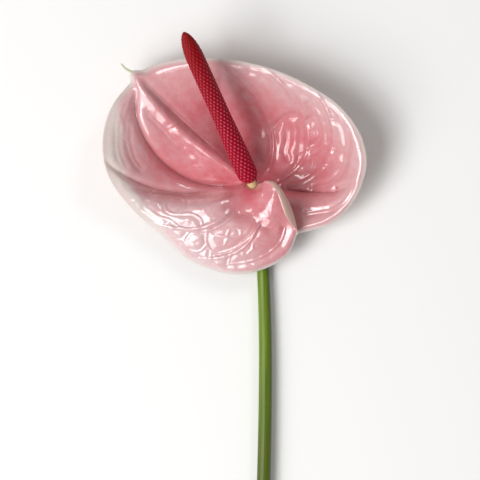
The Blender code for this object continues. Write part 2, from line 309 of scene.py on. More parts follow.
# The photograph: its side and the heart's place in it from its upper left corner, in pixels
PHOTO_SIDE = 480.0
HEART_IN_PHOTO = (252.0, 184.0)

# The stage: lengths in metres, apart from the sensor's width in millimetres
FLOOR_HALF_SIDE = 3.0
WORLD_STRENGTH = 0.27
SENSOR_WIDTH = 36.0
# The lamps: name, place from the heart, side
LAMPS = (
    ("key", (-0.80, -0.25, 1.34), 0.80),
    ("sheen", (-0.80, -0.72, 0.90), 0.80),
    ("fill", (0.55, 0.75, 0.92), 0.30),
)

# The sockets of a colour mix: its factor and its two colours
FACTOR, UNDER, OVER = 0, 6, 7


def smooth(low, high, value):
    """An S-shaped rise from 0 at low to 1 at high, or a fall where low is the larger one."""
    share = np.clip((value - low) / (high - low), 0.0, 1.0)
    return share * share * (3.0 - 2.0 * share)


def through(table, column, at):
    """A smooth curve through one column of a table, by its first column.

    It is the cubic Hermite curve whose slope at each row is a weighted mean of those to both sides."""
    knots = np.array([row[0] for row in table])
    values = np.array([row[column] for row in table])
    slopes = np.gradient(values, knots)
    at = np.clip(at, knots[0], knots[-1])
    cell = np.clip(np.searchsorted(knots, at) - 1, 0, len(knots) - 2)
    width = knots[cell + 1] - knots[cell]
    part = (at - knots[cell]) / width
    rise = values[cell + 1] - values[cell]
    start, end = slopes[cell] * width, slopes[cell + 1] * width
    square, cube = 3 * rise - 2 * start - end, start + end - 2 * rise
    return values[cell] + part * (start + part * (square + part * cube))


def distance_to(x, y, routes):
    """Distance from each place to the nearest route; a route is a smooth curve through its points."""
    nearest = np.full(x.shape, FAR_AWAY)
    for points in routes:
        table = [(step, *point) for step, point in enumerate(points)]
        at = np.linspace(0.0, len(points) - 1.0, 4 * len(points) - 3)
        route_x, route_y = through(table, 1, at), through(table, 2, at)
        for start_x, start_y, end_x, end_y in zip(route_x, route_y, route_x[1:], route_y[1:]):
            run_x, run_y = end_x - start_x, end_y - start_y
            share = ((x - start_x) * run_x + (y - start_y) * run_y) / (run_x**2 + run_y**2)
            share = np.clip(share, 0.0, 1.0)
            away = np.hypot(x - start_x - share * run_x, y - start_y - share * run_y)
            nearest = np.minimum(nearest, away)
    return nearest


def cell_borders(x, y, spacing, seed):
    """Distance from each place to the nearest border of a net of uneven cells.

    The cells belong to the points of a six-sided lattice, whose rows stand 0.866 of the spacing apart,
    each point shaken by up to 0.3 of it. Half the difference of the distances to the two nearest points
    is the distance to the border between them."""
    shake = np.random.default_rng(seed)
    steps = int(LATTICE_REACH / spacing) + 1
    column, row = np.meshgrid(np.arange(-steps, steps + 1), np.arange(-steps, steps + 1))
    points_x = (column + 0.5 * (row % 2)) * spacing
    points_y = row * spacing * 0.866
    points_x = (points_x + shake.uniform(-0.3, 0.3, points_x.shape) * spacing).ravel()
    points_y = (points_y + shake.uniform(-0.3, 0.3, points_y.shape) * spacing).ravel()
    nearest = np.full(x.shape, FAR_AWAY)
    second = np.full(x.shape, FAR_AWAY)
    for point_x, point_y in zip(points_x, points_y):
        distance = np.hypot(x - point_x, y - point_y)
        second = np.minimum(second, np.maximum(distance, nearest))
        nearest = np.minimum(nearest, distance)
    return (second - nearest) / 2.0


def across_vein(angle, share, reach, vein):
    """1 on a vein's line, falling off to both sides and past its ends.

    The line is the parabola of share through the vein's three angles. At a distance of d half widths
    from it, the value is e to the power 1 - root(1 + 4 d squared)."""
    at_heart, half_way, at_end, start, end, _, half_width = vein
    bend = 2.0 * (at_heart + at_end) - 4.0 * half_way
    line = at_heart + (4.0 * half_way - 3.0 * at_heart - at_end) * share + bend * share * share
    away = np.radians(angle - line) * reach
    ends = smooth(start - 0.10, start + 0.10, share) * (1.0 - smooth(end - 0.06, end + 0.06, share))
    return ends * np.exp(1.0 - np.sqrt(1.0 + (away / half_width) ** 2 * 4.0))


def vein_relief(angle, share, reach):
    """The height that all veins add, and how far painted shade darkens the sheet along the sunken ones,
    from 0 to 1.
    """
    height = np.zeros_like(angle)
    painted_crease_shade = np.zeros_like(angle)
    for vein in SUNKEN_VEINS:
        line = across_vein(angle, share, reach, vein)
        depth = vein[5]
        height -= depth * line
        # Painted shade along each sunken vein, strongest on its line
        painted_crease_shade = np.maximum(painted_crease_shade, 0.55 * line**3 * min(1.0, depth / 2.5))
    for vein in RAISED_VEINS:
        height += vein[5] * across_vein(angle, share, reach, vein)
    return height, painted_crease_shade


def bowl_height(angle, share):
    """The height of the sheet without its folds, veins and net.

    It is the rim's height times share to the power 2.1, or 3.0 on the left wall, less a sag on each side
    of the midrib and one under it, plus the swell of the near lobe and the shoulder beside the cleft.
    The collar slopes down to the side that the spadix leans to, and both lobes fall towards the cleft."""
    left_wall = smooth(-75.0, -50.0, angle) * (1.0 - smooth(-22.0, -8.0, angle))
    height = through(RIM, 2, angle) * share ** (2.1 + 0.9 * left_wall)

    lobe = smooth(-40.0, -72.0, angle)
    at_heart, slope, bend = MIDRIB_BOW
    off_midrib = angle + at_heart + slope * share + bend * share**2
    sag_near = (1.0 - lobe) * (1.0 - smooth(-28.0, -2.0, off_midrib))
    sag_far = smooth(2.0, 32.0, off_midrib) * (1.0 - smooth(125.0, 165.0, angle))
    sag_tip = 1.0 - smooth(0.0, 22.0, np.abs(off_midrib))
    dip = np.sin(np.pi * share**0.7) ** 1.3
    height -= dip * (NEAR_DEPTH * sag_near + FAR_DEPTH * sag_far + TIP_DEPTH * sag_tip)
    height += LOBE_RISE * lobe * np.sin(np.pi * share**0.75)

    lean = np.cos(np.radians(angle - SPADIX_BEARING))
    height -= COLLAR_SLOPE * COLLAR_RADIUS * lean * (1.0 - smooth(0.0, 0.30, share))
    shoulder = 1.0 - smooth(12.0, 90.0, np.abs(angle - SHOULDER_BEARING))
    height += SHOULDER_RISE * shoulder * smooth(0.0, 0.14, share)
    height -= NEAR_FALL * smooth(-130.0, -170.0, angle) * smooth(0.25, 0.8, share)
    past_middle = np.sin(np.pi * np.clip(share * 1.1, 0.0, 1.0)) ** 0.8
    return height - FAR_FALL * smooth(95.0, 150.0, angle) * past_middle


def near_fold(angle, reach):
    """1 along the soft fold across the near lobe, falling off as a Gaussian to both sides.

    It runs 15 mm from the heart, and 23 mm from it towards the cleft."""
    line = 15.0 + 8.0 * smooth(-130.0, -165.0, angle)
    ends = (1.0 - smooth(-90.0, -66.0, angle)) * smooth(-166.0, -150.0, angle)
    return ends * np.exp(-(((reach - line) / NEAR_FOLD_WIDTH) ** 2))


def far_fold(angle, share, reach):
    """The sharp fold across the far lobe: the sheet on the midrib's side of it stands a step higher.

    The step is a hyperbolic tangent across the line, and dies away exponentially to both sides."""
    line = 146.0 - 7.0 * share**2
    away = np.radians(angle - line) * reach
    step = 0.5 * (1.0 - np.tanh(away / FAR_FOLD_SHARPNESS)) * np.exp(-np.abs(away) / FAR_FOLD_FADE)
    return step * smooth(0.15, 0.35, share) * (1.0 - smooth(0.70, 0.88, share))


def net_relief(around, angle, share, x, y, net_height):
    """Raised lines in shallow valleys, with the sheet swelling between them.

    A line's height is a Gaussian of the distance to it, and the swell an S-shaped rise away from it.
    The fine net between the main lines is clear on the outer near lobe and faint elsewhere."""
    on_near_half = around < 0.0
    from_line = np.where(on_near_half, distance_to(x, y, NEAR_LINES), distance_to(x, y, FAR_LINES))
    from_border = cell_borders(x, y, CELL_SIZE, CELL_SEED)
    main = np.exp(-((from_line / MAIN_LINE_WIDTH) ** 2))
    fine = np.exp(-((from_border / FINE_LINE_WIDTH) ** 2)) * smooth(2.0, 5.0, from_line)
    clear = smooth(0.40, 0.60, share) * smooth(-150.0, -130.0, angle) * (1.0 - smooth(-55.0, -42.0, angle))
    height = net_height * (main + (FAINT_NET + CLEAR_NET * clear) * fine)
    height += np.where(on_near_half, NEAR_SWELL, FAR_SWELL) * smooth(0.0, 3.2, from_line)
    height += CELL_SWELL * smooth(0.0, 2.6, from_border)
    return height * smooth(0.16, 0.34, share) * (1.0 - smooth(0.92, 0.99, share))


def blush_and_painted_shade(angle, share):
    """How pink the face is: an S-shaped change from the heart to half way, and another out to the rim."""
    # Some rows of the table deepen the pink as painted shade
    inner = smooth(0.05, 0.55, share)
    outer = smooth(0.55, 1.0, share)
    at_heart, half_way, at_rim = (through(BLUSH, column, angle) for column in (1, 2, 3))
    return (at_heart * (1.0 - inner) + half_way * inner) * (1.0 - outer) + at_rim * outer


def blade(around, share, net_height):
    """The spathe's middle surface and its colour masks.

    around runs from -1 at the near inner margin, over 0 at the midrib, to 1 at the far inner margin;
    share runs from 0 at the collar to 1 at the rim. Reach is collar + (rim - collar) times share. The
    height is that of the bowl, less the near fold and the rim's turn, plus the veins, the far fold and
    the net. The near margin then rolls back over the sheet, on an ellipse."""
    flat_part = 1.0 - ROLL_SHARE
    near = through(CLEFT_NEAR, 1, share) * np.clip(-around / flat_part, 0.0, 1.0)
    far = through(CLEFT_FAR, 1, share) * around
    angle = np.where(around < 0.0, near, far)
    reach = COLLAR_RADIUS + (through(RIM, 1, angle) - COLLAR_RADIUS) * share
    heading = np.radians(MIDRIB_HEADING - angle)
    x, y = reach * np.cos(heading), reach * np.sin(heading)

    fold = near_fold(angle, reach)
    veins, painted_crease_shade = vein_relief(angle, share, reach)
    height = bowl_height(angle, share) - NEAR_FOLD_DEPTH * fold + veins
    height += FAR_FOLD_HEIGHT * far_fold(angle, share, reach)
    height += net_relief(around, angle, share, x, y, net_height)

    # The rim turns back: a broad band on the left of the near half, a narrow one elsewhere
    broad = smooth(-125.0, -95.0, angle) * (1.0 - smooth(-24.0, -10.0, angle))
    band = 0.95 - 0.08 * broad
    height -= RIM_TURN * (1.0 + broad) * np.clip((share - band) / (1.0 - band), 0.0, 1.0) ** 1.5

    # The near margin's roll
    rolled = np.clip((-around - flat_part) / ROLL_SHARE, 0.0, 1.0)
    radius = through(CLEFT_NEAR, 2, share)
    turn = np.radians(rolled * through(CLEFT_NEAR, 3, share))
    x = x - radius * np.sin(turn) * np.sin(heading)
    y = y + radius * np.sin(turn) * np.cos(heading)
    z = height + ROLL_HEIGHT * radius * (1.0 - np.cos(turn))

    # The rim's pale colour, partly its own and partly a painted highlight on its turned edge, reaches
    # further in on the left
    pale = broad * smooth(-85.0, -50.0, angle)
    masks = {
        "blush_and_painted_shade": blush_and_painted_shade(angle, share),
        "rim": smooth(0.955 - 0.13 * pale, 0.995 - 0.07 * pale, share),
        # Painted shade along the sunken veins, and fainter in the near fold
        "painted_crease_shade": np.maximum(0.25 * fold, painted_crease_shade),
    }
    return np.stack([x, y, z], axis=-1), masks


def unit(vectors):
    """Each vector over its own length."""
    return vectors / np.maximum(np.linalg.norm(vectors, axis=-1, keepdims=True), 1e-9)


def sheet_normals(points):
    """The direction across a grid of points: the cross product of its two sets of differences."""
    return unit(np.cross(np.gradient(points, axis=0), np.gradient(points, axis=1)))


def both_faces(middle, around, share, thickness):
    """A sheet's points, from its collar out over the face, round the rim, and back below it.

    The face is the middle surface plus half the thickness along its normal. The back is less by as much
    and has every second column. The rim's bend is a half circle between them. The half thickness falls
    to 0.55 of itself at the rim, and as a quarter circle to nothing at the inner margins."""
    across = sheet_normals(middle)
    upward = across * (-1.0 if across[..., 2].mean() < 0.0 else 1.0)
    outward = unit(np.gradient(middle, axis=1))
    half = thickness / 2.0 * (1.0 - 0.45 * smooth(0.8, 1.0, share))
    from_margin = np.minimum(1.0 - np.abs(around), MARGIN_SHARE) / MARGIN_SHARE
    half = half * np.sqrt(np.clip(1.0 - (1.0 - from_margin) ** 2, 0.0, 1.0))
    half = half[..., None]
    face = middle + upward * half
    back = (middle - upward * half)[:, ::-2]
    up_at_rim = upward[:, -1] * half[:, -1]
    out_at_rim = outward[:, -1] * half[:, -1]
    turn = np.radians(RIM_BEND)[:, None]
    bend = middle[:, -1:] + up_at_rim[:, None] * np.cos(turn) + out_at_rim[:, None] * np.sin(turn)
    return np.concatenate([face, bend, back], axis=1)


def margin_faces(start, above_count, below_count):
    """The faces that close one inner margin, between the edge of the face and that of the back.

    start is the margin's first point. The back has every second column, so a triangle and a four-sided
    face take turns, and one face closes the rim's bend."""
    first_below = start + above_count + len(RIM_BEND)
    above = start + np.arange(0, 2 * below_count - 1, 2)
    below = first_below + below_count - 1 - np.arange(below_count)
    triangles = np.stack([above[:-1], above[:-1] + 1, below[:-1]], axis=1)
    four_sided = np.stack([above[:-1] + 1, above[1:], below[1:], below[:-1]], axis=1)
    bend = list(range(start + above_count - 1, first_below + 1))
    return triangles.tolist() + four_sided.tolist() + [bend]


def grid_faces(rows, columns):
    """Four-sided faces between neighbouring points of a grid whose columns close on themselves."""
    row, column = np.meshgrid(np.arange(rows - 1), np.arange(columns), indexing="ij")
    this, following = row * columns + column, row * columns + (column + 1) % columns
    corners = (this, following, following + columns, this + columns)
    return np.stack([corner.ravel() for corner in corners], axis=1).tolist()


def tube(line, radius, sides):
    """Rings of points round a line: each is the line's point plus radius times the ring's direction."""
    along = unit(np.gradient(line, axis=0))
    sideways = unit(np.cross(along, (0.0, 0.0, 1.0)))[:, None, :]
    upwards = np.cross(sideways, along[:, None, :])
    turn = np.linspace(0.0, 2.0 * np.pi, sides, endpoint=False)[None, :, None]
    ring = np.cos(turn) * sideways + np.sin(turn) * upwards
    return line[:, None, :] + ring * radius[..., None]


def tail_points():
    """A tapering thread along a curve through the tail's table.

    Near its ends the radius falls with the root of the distance from the end, so both end in a point."""
    way = np.linspace(TAIL[0][0], TAIL[-1][0], TAIL_POINTS)
    aside, up, radius = (through(TAIL, column, way) for column in (1, 2, 3))
    heading = np.radians(MIDRIB_HEADING)
    x = way * np.cos(heading) - aside * np.sin(heading)
    y = way * np.sin(heading) + aside * np.cos(heading)
    from_end = np.minimum(way[-1] - way, way - way[0])
    radius = radius * np.sqrt(np.clip(from_end / TAIL_ROUNDING, 0.0, 1.0))
    return tube(np.stack([x, y, up], axis=-1), radius[:, None], TAIL_SIDES)


def spadix_radius(share):
    """The spadix's radius as a share of its thickest: blunt at the foot, then slimmer, with a domed tip.

    It is a taper by 0.12, times an ellipse's arc over the first 0.06 of the way, times a dome past 0.82:
    1 less the square of the way up the dome, to the power 0.6."""
    taper = 1.0 - 0.12 * smooth(0.10, 0.50, share)
    foot = np.sqrt(1.0 - (np.maximum(0.0, 0.06 - share) / 0.070) ** 2)
    tip = np.maximum(0.0, 1.0 - (np.maximum(0.0, share - 0.82) / 0.1805) ** 2) ** 0.6
    return taper * foot * tip


def spadix_surface(settings):
    """The spadix's points and its colour masks.

    The florets sit where two sets of slanting rows cross, and each set counts up by one from floret to
    floret. The radius is the club's own, plus the florets' relief, by the root of the product of the
    cosines of the two counts, plus the stigmas, by a Gaussian of the distance from a floret's middle."""
    axis = np.array(SPADIX_TIP)
    length = np.linalg.norm(axis)
    axis = axis / length
    run = length - SPADIX_START
    columns = settings.florets * POINTS_ROUND_A_FLORET
    share = np.linspace(0.0, 1.0, SPADIX_RINGS)[:, None]
    turn = np.linspace(0.0, 2.0 * np.pi, columns, endpoint=False)[None, :]

    round_count = settings.florets * turn / (2.0 * np.pi)
    ring_count = settings.rings * share / 2.0
    counts = round_count + ring_count, round_count - ring_count
    whole = [np.round(count) for count in counts]
    first, second = counts[0] - whole[0], counts[1] - whole[1]
    dome = np.abs(np.cos(np.pi * first) * np.cos(np.pi * second))
    radius = spadix_radius(share) * settings.radius / MM
    from_middle = np.hypot((first + second) * np.pi * radius / settings.florets,
                           (first - second) * run / settings.rings)
    # Each stigma has a random size, and towards the tip they are hardly seen
    sizes = np.random.default_rng(STIGMA_SEED).uniform(0.55, 1.0, (MOST_FLORETS, MOST_FLORETS))
    size = sizes[tuple(count.astype(int) % settings.florets for count in whole)]
    fading = 1.0 - 0.92 * smooth(0.50, 0.92, share)
    stigma = np.exp(-((from_middle / STIGMA_RADIUS) ** 2)) * size * fading
    ends = smooth(0.0, 0.06, share) * (1.0 - smooth(0.96, 1.0, share))
    relief = settings.relief / MM * (np.sqrt(dome) * 1.3 - 0.7)
    radius = radius + ends * (relief + STIGMA_HEIGHT * stigma)

    side = unit(np.cross(axis, (0.0, 0.0, 1.0)))
    up = np.cross(side, axis)
    angle = (turn + SPADIX_TWIST * share)[..., None]
    line = (axis * (SPADIX_START + share * run))[:, None, :]
    points = line + radius[..., None] * (np.cos(angle) * side + np.sin(angle) * up)
    foot, tip = (np.broadcast_to(axis * distance, (1, columns, 3)) for distance in (SPADIX_START, length))
    points = np.concatenate([foot, points, tip], axis=0)
    one_ring_more = ((1, 1), (0, 0))
    masks = {
        "stigma": np.pad(stigma, one_ring_more),
        # Painted shade in the grooves between the florets
        "painted_groove_shade": np.pad(1.0 - np.clip(dome * 2.5, 0.0, 1.0), one_ring_more),
        "along": np.pad(share, one_ring_more, "edge"),
    }
    return points, masks


def stem_line(count):
    """The stem's centre line and radius: a clamped cubic B-spline over the route's points."""
    control = np.array(STEM_ROUTE)
    spans = len(control) - 3
    knots = np.concatenate([np.zeros(3), np.linspace(0.0, 1.0, spans + 1), np.ones(3)])
    # The last span leaves out its own end, so the last place is just before it
    at = np.linspace(0.0, 1.0, count)
    at[-1] = 1.0 - 1e-9
    at = at[:, None]
    basis = ((at >= knots[:-1]) & (at < knots[1:])).astype(float)
    for degree in (1, 2, 3):
        size = len(knots) - 1 - degree
        left = knots[degree:degree + size] - knots[:size]
        right = knots[degree + 1:degree + 1 + size] - knots[1:size + 1]
        rising = (at - knots[:size]) / np.where(left > 0.0, left, 1.0) * (left > 0.0)
        falling = (knots[degree + 1:degree + 1 + size] - at) / np.where(right > 0.0, right, 1.0)
        falling = falling * (right > 0.0)
        basis = rising * basis[:, :size] + falling * basis[:, 1:size + 1]
    found = basis @ control
    return found[:, :3], found[:, 3]


def stem_surface(ridge_count):
    """The stem's points and its colour masks: a ridged tube, closed by rings at its cut end and its top.

    The ridges are a cosine round the tube, whose phase moves on by 3 radians from end to end."""
    line, radius = stem_line(STEM_POINTS)
    turn = np.linspace(0.0, 2.0 * np.pi, STEM_SIDES, endpoint=False)[None, :]
    share = np.linspace(0.0, 1.0, STEM_POINTS)[:, None]
    ridges = STEM_RIDGE_HEIGHT * np.cos(ridge_count * turn + 3.0 * share)
    skin = tube(line, radius[:, None] + ridges, STEM_SIDES)
    # The cut end: the skin's edge rounds over, then rings run in to the middle
    part = np.array(CUT_RINGS)[:, None, None]
    back = unit(line[0] - line[1])
    cut_end = line[0] + (skin[0] - line[0]) * part + back * CUT_ROUNDING * np.sqrt(1.0 - part**4)
    top = line[-1] + (skin[-1] - line[-1]) * np.array((0.5, 0.0))[:, None, None]
    points = np.concatenate([cut_end, skin, top], axis=0)
    from_heart = np.linalg.norm(points, axis=-1)
    cut = np.zeros(points.shape[:2])
    cut[:len(CUT_RINGS)] = 1.0
    # It darkens towards the foot, and along its right side, where the darkening is painted shade
    foot = 0.6 * smooth(60.0, 135.0, from_heart)
    right = 0.8 * smooth(0.3, 0.95, np.cos(turn)) * smooth(12.0, 30.0, from_heart)
    masks = {"cut": cut, "stipe": 1.0 - smooth(3.0, 9.0, from_heart), "darker_foot_and_painted_shade": np.maximum(foot, right)}
    return points, masks


def linear(colour):
    """An sRGB hex colour as linear red, green, blue and alpha."""
    values = np.array([int(colour[at:at + 2], 16) for at in (1, 3, 5)]) / 255.0
    values = np.where(values <= 0.04045, values / 12.92, ((values + 0.055) / 1.055) ** 2.4)
    return (*values.tolist(), 1.0)


def add(tree, kind, links=None, **settings):
    """Adds one node: settings are its properties, and links gives its inputs a socket or a value."""
    node = tree.nodes.new(kind)
    for name, value in settings.items():
        setattr(node, name, value)
    for name, value in (links or {}).items():
        if isinstance(value, bpy.types.NodeSocket):
            tree.links.new(value, node.inputs[name])
        else:
            node.inputs[name].default_value = value
    return node


def new_material(name):
    """A material with an empty node tree, and the tree."""
    material = bpy.data.materials.new(name)
    material.use_nodes = True
    material.node_tree.nodes.clear()
    return material, material.node_tree


def finish_material(tree, colour, layers, sockets):
    """Ends a material's tree: a colour, the layers over it, each by its own factor, and the shader."""
    for factor, over in layers:
        mix = add(tree, "ShaderNodeMix", {FACTOR: factor, UNDER: colour, OVER: over}, data_type="RGBA")
        colour = mix.outputs[2]
    shader = add(tree, "ShaderNodeBsdfPrincipled", {"Base Color": colour, **sockets})
    add(tree, "ShaderNodeOutputMaterial", {"Surface": shader.outputs[0]})


def spathe_material(settings):
    """A living leaf's waxy skin: soft colour from within, a clear glossy coat over a raised net."""
    material, tree = new_material("waxy_spathe_skin")
    place = add(tree, "ShaderNodeTexCoord").outputs["Object"]
    pink, rim, painted_crease_shade, side = (add(tree, "ShaderNodeAttribute", attribute_name=mask).outputs["Fac"]
                               for mask in ("blush_and_painted_shade", "rim", "painted_crease_shade", "side"))
    # Mottling of 4 mm, as uneven colour under the wax
    mottle = add(tree, "ShaderNodeTexNoise",
                 {"Vector": place, "Scale": 250.0, "Detail": 3.0, "Roughness": 0.6})
    shift = add(tree, "ShaderNodeMath", {0: mottle.outputs["Fac"], 1: 0.5, 2: -0.25},
                operation="MULTIPLY_ADD")
    amount = add(tree, "ShaderNodeMath", {0: pink, 1: shift.outputs[0]}, operation="ADD", use_clamp=True)
    # The brown specks are round spots seen from above
    flat = add(tree, "ShaderNodeVectorMath", {0: place, 1: (1.0, 1.0, 0.0)}, operation="MULTIPLY")
    specks = []
    for x, y, radius in SPECKS:
        centre = ((HEART[0] + x) * MM, (HEART[1] + y) * MM, 0.0)
        apart = add(tree, "ShaderNodeVectorMath", {0: flat.outputs[0], 1: centre}, operation="DISTANCE")
        spot = add(tree, "ShaderNodeMapRange",
                   {"Value": apart.outputs["Value"], "From Min": radius * MM,
                    "From Max": 0.3 * radius * MM, "To Max": 0.6},
                   interpolation_type="SMOOTHSTEP")
        specks.append((spot.outputs[0], linear("#8a4a3a")))
    layers = (
        # Deep pink, partly painted shade on the left half's inner slope
        (amount.outputs[0], settings.deep),
        # Painted shade down in the creases
        (painted_crease_shade, settings.shade),
        *specks,
        # The pale rim: partly its own colour, partly a painted highlight on its turned edge
        (rim, settings.rim_cream_and_highlight),
        (side, settings.back),
    )
    # Crinkles of 1.9 mm, and the skin's grain, drawn at 0.6 mm because the real one is too fine to show
    crinkle = add(tree, "ShaderNodeTexNoise",
                  {"Vector": place, "Scale": 520.0, "Detail": 3.0, "Roughness": 0.6})
    waves = add(tree, "ShaderNodeBump",
                {"Height": crinkle.outputs["Fac"], "Strength": 0.35, "Distance": 0.4 * MM})
    grain = add(tree, "ShaderNodeTexNoise", {"Vector": place, "Scale": 1600.0, "Detail": 2.0})
    bump = add(tree, "ShaderNodeBump",
               {"Height": grain.outputs["Fac"], "Strength": 0.15, "Distance": 0.2 * MM,
                "Normal": waves.outputs[0]})
    finish_material(tree, settings.pale, layers, {
        "Normal": bump.outputs[0],
        "Roughness": 0.38,
        "IOR": 1.45,
        "Coat Weight": 1.0,
        "Coat Roughness": 0.12,
        "Coat IOR": 1.7,
        "Subsurface Weight": 0.15,
        "Subsurface Radius": (1.0, 0.45, 0.35),
        "Subsurface Scale": 2.0 * MM,
    })
    return material


def tail_material(settings):
    """Dry plant fibre: pale and nearly matt, with darker flecks."""
    material, tree = new_material("dry_tail_skin")
    place = add(tree, "ShaderNodeTexCoord").outputs["Object"]
    # Flecks of 1.4 mm
    flecks = add(tree, "ShaderNodeTexNoise", {"Vector": place, "Scale": 700.0, "Detail": 2.0})
    layers = ((flecks.outputs["Fac"], linear("#b9b48c")),)
    finish_material(tree, settings.tail, layers, {"Roughness": 0.5})
    return material


def spadix_material(settings):
    """Fleshy florets: deep red with a dull sheen, painted shade between one another, with pale stigmas."""
    material, tree = new_material("fleshy_floret_skin")
    stigma, painted_groove_shade, along = (add(tree, "ShaderNodeAttribute", attribute_name=mask).outputs["Fac"]
                             for mask in ("stigma", "painted_groove_shade", "along"))
    rise = add(tree, "ShaderNodeMapRange", {"Value": along, "From Min": 0.2, "From Max": 0.95})
    layers = (
        (rise.outputs[0], settings.high),
        # Painted shade in the grooves between the florets
        (painted_groove_shade, linear("#620414")),
        (stigma, settings.dots),
    )
    finish_material(tree, settings.low, layers, {
        "Roughness": 0.42,
        "Specular IOR Level": 0.12,
        "Coat Weight": 0.08,
        "Coat Roughness": 0.15,
    })
    return material


def stem_material(settings):
    """A green stalk's skin: a broad soft sheen over streaks and tan patches, with a pale fibrous cut."""
    material, tree = new_material("green_peduncle_skin")
    place = add(tree, "ShaderNodeTexCoord").outputs["Object"]
    darker_foot_and_painted_shade, stipe, cut = (add(tree, "ShaderNodeAttribute", attribute_name=mask).outputs["Fac"]
                        for mask in ("darker_foot_and_painted_shade", "stipe", "cut"))
    # Streaks 1.1 mm wide and 40 mm long, tan patches of 17 mm, and fibres of 0.6 mm in the cut
    stretch = add(tree, "ShaderNodeMapping", {"Vector": place, "Scale": (900.0, 25.0, 900.0)})
    streaks = add(tree, "ShaderNodeTexNoise", {"Vector": stretch.outputs[0], "Scale": 1.0, "Detail": 3.0})
    patches = add(tree, "ShaderNodeTexNoise", {"Vector": place, "Scale": 60.0, "Detail": 2.0})
    fibres = add(tree, "ShaderNodeTexVoronoi", {"Vector": place, "Scale": 1600.0})
    olive = add(tree, "ShaderNodeMapRange",
                {"Value": streaks.outputs["Fac"], "From Min": 0.40, "From Max": 0.95})
    tan = add(tree, "ShaderNodeMapRange",
              {"Value": patches.outputs["Fac"], "From Min": 0.55, "From Max": 0.75, "To Max": 0.45})
    flesh = add(tree, "ShaderNodeMix",
                {FACTOR: fibres.outputs["Distance"], UNDER: linear("#8c9a55"), OVER: settings.cut},
                data_type="RGBA")
    layers = (
        (olive.outputs[0], settings.olive),
        (tan.outputs[0], linear("#8d7a3c")),
        # Olive towards the foot, and painted shade along the right side
        (darker_foot_and_painted_shade, settings.olive),
        (stipe, settings.stipe),
        (cut, flesh.outputs[2]),
    )
    bump = add(tree, "ShaderNodeBump",
               {"Height": streaks.outputs["Fac"], "Strength": 0.25, "Distance": 0.2 * MM})
    finish_material(tree, settings.green, layers, {
        "Normal": bump.outputs[0],
        "Roughness": 0.45,
        "Specular IOR Level": 0.3,
        "Coat Weight": 0.25,
        "Coat Roughness": 0.30,
    })
    return material


def floor_material(settings):
    """Matt white paper: pale and even, with hardly any reflection."""
    material, tree = new_material("matt_white_paper")
    finish_material(tree, settings.floor, (), {"Roughness": 0.8, "Specular IOR Level": 0.1})
    return material


def make_piece(name, points, faces, material, node, masks=None):
    """Puts points in millimetres from the heart and their faces into a mesh that stands for a solid."""
    mesh = bpy.data.meshes.new(name)
    place = (points.reshape(-1, 3) + np.array(HEART)) * MM
    mesh.from_pydata(place.tolist(), [], faces)
    for mask, values in (masks or {}).items():
        values = np.broadcast_to(values, points.shape[:2])
        layer = mesh.attributes.new(mask, "FLOAT", "POINT")
        layer.data.foreach_set("value", np.ascontiguousarray(values, np.float32).ravel())
    merged = bmesh.new()
    merged.from_mesh(mesh)
    bmesh.ops.remove_doubles(merged, verts=merged.verts, dist=MERGE_DISTANCE)
    bmesh.ops.recalc_face_normals(merged, faces=merged.faces)
    merged.to_mesh(mesh)
    merged.free()
    mesh.shade_smooth()
    mesh.materials.append(material)
    piece = bpy.data.objects.new(name, mesh)
    bpy.context.collection.objects.link(piece)
    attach(piece, "root")
    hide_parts(node)
    return piece


class SpatheSettings(bpy.types.PropertyGroup):
    thickness: FloatProperty(name="Thickness", description="Thickness of the blade", default=0.9 * MM,
                             subtype="DISTANCE", unit="LENGTH")
    net_height: FloatProperty(name="Net height", description="Height of the raised net of small veins",
                              default=0.40 * MM, subtype="DISTANCE", unit="LENGTH")
    deep: FloatVectorProperty(name="Deep pink", description="Colour at the heart and on the far lobe",
                              default=linear("#d4616c"), size=4, subtype="COLOR")
    pale: FloatVectorProperty(name="Pale pink", description="Colour towards the near rim",
                              default=linear("#e0c3c4"), size=4, subtype="COLOR")
    # Partly the rim's own colour, partly a painted highlight on its turned edge
    rim_cream_and_highlight: FloatVectorProperty(name="Rim", description="Colour of the thin rim",
                               default=linear("#dacbc6"), size=4, subtype="COLOR")
    # Painted shade: the colour laid down in the creases
    shade: FloatVectorProperty(name="Crease", description="Colour down in the creases",
                               default=linear("#a4484f"), size=4, subtype="COLOR")
    back: FloatVectorProperty(name="Underside", description="Colour of the underside",
                              default=linear("#c9a598"), size=4, subtype="COLOR")
    tail: FloatVectorProperty(name="Tail", description="Colour of the dry thread at the tip",
                              default=linear("#d8dcc8"), size=4, subtype="COLOR")


class SpadixSettings(bpy.types.PropertyGroup):
    radius: FloatProperty(name="Radius", description="Radius at the thickest place", default=4.65 * MM,
                          subtype="DISTANCE", unit="LENGTH")
    florets: IntProperty(name="Florets round", description="Florets in one turn", default=15, min=3,
                         max=MOST_FLORETS)
    rings: IntProperty(name="Rings", description="Rings of florets from end to end", default=50)
    relief: FloatProperty(name="Relief", description="Height of a floret", default=0.32 * MM,
                          subtype="DISTANCE", unit="LENGTH")
    low: FloatVectorProperty(name="Lower colour", description="Colour of the lower florets",
                             default=linear("#b6082e"), size=4, subtype="COLOR")
    high: FloatVectorProperty(name="Upper colour", description="Colour of the florets at the tip",
                              default=linear("#9a0406"), size=4, subtype="COLOR")
    dots: FloatVectorProperty(name="Dots", description="Colour of the stigmas",
                              default=linear("#dd8fa2"), size=4, subtype="COLOR")


